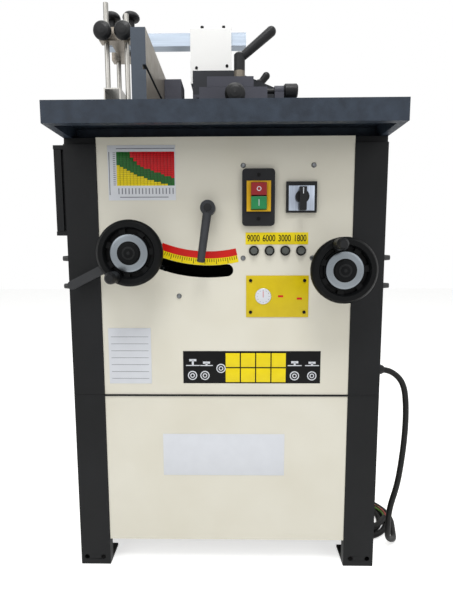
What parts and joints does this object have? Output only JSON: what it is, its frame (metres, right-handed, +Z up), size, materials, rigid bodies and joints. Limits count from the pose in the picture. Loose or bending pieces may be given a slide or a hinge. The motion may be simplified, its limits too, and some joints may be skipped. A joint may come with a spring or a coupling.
{
  "type": "spindle moulder",
  "caption": "Spindle moulder: sheet cabinet on corner posts, cast table, tilting and rising spindle, fence with hood and hold-down shoes.",
  "frame": {"origin": "floor level, middle of the footprint without the cord", "axes": "+Z up, +Y away from the front panel, -X the operator's side"},
  "size_m": [0.7418, 0.822, 1.236],
  "materials": {
    "panel_paint": "satin cream paint",
    "frame_paint": "satin charcoal paint",
    "table_iron": "ground top, dark",
    "inner_iron": "cast, machined faces",
    "steel": "turned steel",
    "pulley_aluminium": "turned and extruded aluminium",
    "motor_paint": "dark paint",
    "black_plastic": "moulded black",
    "lever_steel": "black",
    "switch_plastic": "moulded grey",
    "stop_red": "moulded red",
    "start_green": "moulded green",
    "lamp": "clear lens",
    "rubber": "black rubber",
    "fence_paint": "satin black paint",
    "guard_paint": "white paint"
  },
  "bodies": {
    "cabinet": {"lower_posts": "frame_paint", "upper_frame": "frame_paint", "divider_plate": "frame_paint", "upper_front_panel": "panel_paint", "upper_panels": "panel_paint", "lower_panels": "panel_paint", "panel_screws": "steel", "worktable": "table_iron", "insert_ring": "table_iron", "trunnion_brackets": "inner_iron", "switch_plate": "switch_plastic", "selector_plate": "black_plastic", "speed_lamps": "lamp", "tilt_sleeve": "inner_iron", "cord_gland": "black_plastic", "cord_drop": "rubber", "cord_coil": "rubber"},
    "tilt_cradle": {"cradle_frame": "inner_iron", "tilt_sector": "steel"},
    "spindle_carriage": {"carriage_plate": "inner_iron", "spindle_housing": "inner_iron", "spindle_bearings": "steel", "motor": "motor_paint", "drive_belt": "rubber"},
    "spindle": {"spindle": "steel", "spindle_pulley": "pulley_aluminium", "arbor_rings": "steel"},
    "motor_rotor": {"motor_pulley": "pulley_aluminium"},
    "height_wheel": {"height_wheel": "black_plastic", "height_shaft": "steel"},
    "height_screw": {"height_screw": "steel"},
    "height_grip": {"height_grip": "black_plastic"},
    "height_lock_lever": {"height_lock_lever": "lever_steel"},
    "tilt_wheel": {"tilt_wheel": "black_plastic", "tilt_shaft": "steel"},
    "tilt_grip": {"tilt_grip": "black_plastic"},
    "tilt_clamp_lever": {"tilt_clamp_lever": "black_plastic"},
    "stop_button": {"stop_button": "stop_red"},
    "start_button": {"start_button": "start_green"},
    "selector_knob": {"selector_knob": "black_plastic"},
    "belt_door": {"belt_door": "frame_paint"},
    "door_knob": {"door_knob": "black_plastic"},
    "fence": {"fence_base": "fence_paint", "dust_hood": "fence_paint", "guard_post": "guard_paint"},
    "infeed_slide": {"infeed_slide": "fence_paint"},
    "infeed_plate": {"infeed_plate": "pulley_aluminium"},
    "outfeed_plate": {"outfeed_plate": "pulley_aluminium"},
    "slide_lever": {"slide_lever": "black_plastic"},
    "hood_lever": {"hood_lever": "black_plastic"},
    "slide_adjuster": {"slide_adjuster": "black_plastic"},
    "ball_knob": {"ball_knob": "black_plastic"},
    "guard_arm": {"guard_arm": "pulley_aluminium", "hold_down_head": "fence_paint"},
    "top_shoe": {"top_shoe": "steel"},
    "side_shoe": {"side_shoe": "steel"},
    "top_shoe_knob": {"top_shoe_knob": "black_plastic"},
    "side_shoe_knob": {"side_shoe_knob": "black_plastic"},
    "arm_knob_left": {"arm_knob_left": "black_plastic"},
    "arm_knob_right": {"arm_knob_right": "black_plastic"}
  },
  "joints": [
    {"name": "spindle_tilt", "type": "hinge", "parent": "cabinet", "child": "tilt_cradle", "pos_m": [-0.024, 0.011, 0.89], "axis": [0, -1, 0], "range_deg": [0, 35]},
    {"name": "spindle_height", "type": "slide", "parent": "tilt_cradle", "child": "spindle_carriage", "axis": [0, 0, 1], "range_m": [-0.06, 0.02]},
    {"name": "motor_spin", "type": "hinge", "parent": "spindle_carriage", "child": "motor_rotor", "pos_m": [-0.084, 0.216, 0.54], "axis": [0, 0, 1], "continuous": true},
    {"name": "spindle_spin", "type": "hinge", "parent": "spindle_carriage", "child": "spindle", "pos_m": [-0.024, 0.011, 0.7], "axis": [0, 0, 1], "continuous": true},
    {"name": "height_wheel_turn", "type": "hinge", "parent": "tilt_cradle", "child": "height_wheel", "pos_m": [-0.16089, -0.349, 0.64804], "axis": [0, 1, 0], "range_deg": [-2161, 721]},
    {"name": "height_screw_turn", "type": "hinge", "parent": "tilt_cradle", "child": "height_screw", "pos_m": [-0.16089, 0.011, 0.55], "axis": [0, 0, 1], "range_deg": [-721, 2161]},
    {"name": "height_grip_turn", "type": "hinge", "parent": "height_wheel", "child": "height_grip", "pos_m": [-0.18489, -0.389, 0.60647], "axis": [0, 1, 0], "continuous": true},
    {"name": "height_lock_turn", "type": "hinge", "parent": "tilt_cradle", "child": "height_lock_lever", "pos_m": [-0.16089, -0.319, 0.64804], "axis": [0, 1, 0], "range_deg": [-20, 20]},
    {"name": "tilt_wheel_turn", "type": "hinge", "parent": "cabinet", "child": "tilt_wheel", "pos_m": [0.21947, -0.349, 0.61673], "axis": [0, 1, 0], "range_deg": [-1, 271]},
    {"name": "tilt_grip_turn", "type": "hinge", "parent": "tilt_wheel", "child": "tilt_grip", "pos_m": [0.20544, -0.389, 0.66263], "axis": [0, 1, 0], "continuous": true},
    {"name": "tilt_clamp_turn", "type": "hinge", "parent": "cabinet", "child": "tilt_clamp_lever", "pos_m": [-0.024, -0.309, 0.731], "axis": [0, 1, 0], "range_deg": [-50, 50]},
    {"name": "stop_press", "type": "slide", "parent": "cabinet", "child": "stop_button", "axis": [0, 1, 0], "range_m": [0, 0.004], "stiffness_N_per_m": 500, "springref_m": -0.002},
    {"name": "start_press", "type": "slide", "parent": "cabinet", "child": "start_button", "axis": [0, 1, 0], "range_m": [0, 0.004], "stiffness_N_per_m": 500, "springref_m": -0.002},
    {"name": "selector_turn", "type": "hinge", "parent": "cabinet", "child": "selector_knob", "pos_m": [0.151, -0.309, 0.751], "axis": [0, 1, 0], "range_deg": [-45, 45]},
    {"name": "door_swing", "type": "hinge", "parent": "cabinet", "child": "belt_door", "pos_m": [-0.306, -0.287, 0.766], "axis": [0, 0, 1], "range_deg": [0, 110]},
    {"name": "door_knob_turn", "type": "hinge", "parent": "belt_door", "child": "door_knob", "pos_m": [-0.317, -0.001, 0.766], "axis": [1, 0, 0], "range_deg": [-90, 90]},
    {"name": "fence_slide", "type": "slide", "parent": "cabinet", "child": "fence", "axis": [1, 0, 0], "range_m": [-0.03, 0.03]},
    {"name": "infeed_adjust", "type": "slide", "parent": "fence", "child": "infeed_slide", "axis": [1, 0, 0], "range_m": [-0.008, 0.008]},
    {"name": "infeed_plate_slide", "type": "slide", "parent": "infeed_slide", "child": "infeed_plate", "axis": [0, 1, 0], "range_m": [-0.03, 0.02]},
    {"name": "outfeed_plate_slide", "type": "slide", "parent": "fence", "child": "outfeed_plate", "axis": [0, 1, 0], "range_m": [-0.02, 0.03]},
    {"name": "slide_lever_turn", "type": "hinge", "parent": "infeed_slide", "child": "slide_lever", "pos_m": [0.037, -0.139, 1.03], "axis": [0, 0, 1], "range_deg": [-45, 45]},
    {"name": "hood_lever_turn", "type": "hinge", "parent": "fence", "child": "hood_lever", "pos_m": [0.086, -0.037, 1.045], "axis": [0, 0, 1], "range_deg": [-45, 45]},
    {"name": "slide_adjuster_turn", "type": "hinge", "parent": "fence", "child": "slide_adjuster", "pos_m": [0.138, -0.139, 0.996], "axis": [1, 0, 0], "range_deg": [-241, 241]},
    {"name": "ball_knob_turn", "type": "hinge", "parent": "fence", "child": "ball_knob", "pos_m": [0.027, -0.199, 0.969], "axis": [0, 1, 0], "range_deg": [-180, 180]},
    {"name": "guard_arm_slide", "type": "slide", "parent": "fence", "child": "guard_arm", "axis": [1, 0, 0], "range_m": [-0.04, 0.04]},
    {"name": "top_shoe_slide", "type": "slide", "parent": "guard_arm", "child": "top_shoe", "axis": [0, 0, 1], "range_m": [-0.06, 0.03]},
    {"name": "side_shoe_slide", "type": "slide", "parent": "guard_arm", "child": "side_shoe", "axis": [0, 0, 1], "range_m": [-0.01, 0.06]},
    {"name": "top_shoe_knob_turn", "type": "hinge", "parent": "guard_arm", "child": "top_shoe_knob", "pos_m": [-0.2765, -0.079, 1.153], "axis": [0, 1, 0], "range_deg": [-180, 180]},
    {"name": "side_shoe_knob_turn", "type": "hinge", "parent": "guard_arm", "child": "side_shoe_knob", "pos_m": [-0.229, -0.079, 1.153], "axis": [0, 1, 0], "range_deg": [-180, 180]},
    {"name": "arm_knob_left_turn", "type": "hinge", "parent": "guard_arm", "child": "arm_knob_left", "pos_m": [-0.2765, 0.011, 1.21], "axis": [0, 0, 1], "range_deg": [-180, 180]},
    {"name": "arm_knob_right_turn", "type": "hinge", "parent": "guard_arm", "child": "arm_knob_right", "pos_m": [-0.229, 0.011, 1.21], "axis": [0, 0, 1], "range_deg": [-180, 180]}
  ],
  "couplings": [
    {"joint": "spindle_spin", "follows": "motor_spin", "ratio": 2.096},
    {"joint": "height_wheel_turn", "follows": "spindle_height", "rad_per_m": 628.31},
    {"joint": "height_screw_turn", "follows": "spindle_height", "rad_per_m": -628.31},
    {"joint": "tilt_wheel_turn", "follows": "spindle_tilt", "ratio": 7.7143},
    {"joint": "slide_adjuster_turn", "follows": "infeed_adjust", "rad_per_m": 523.59}
  ]
}
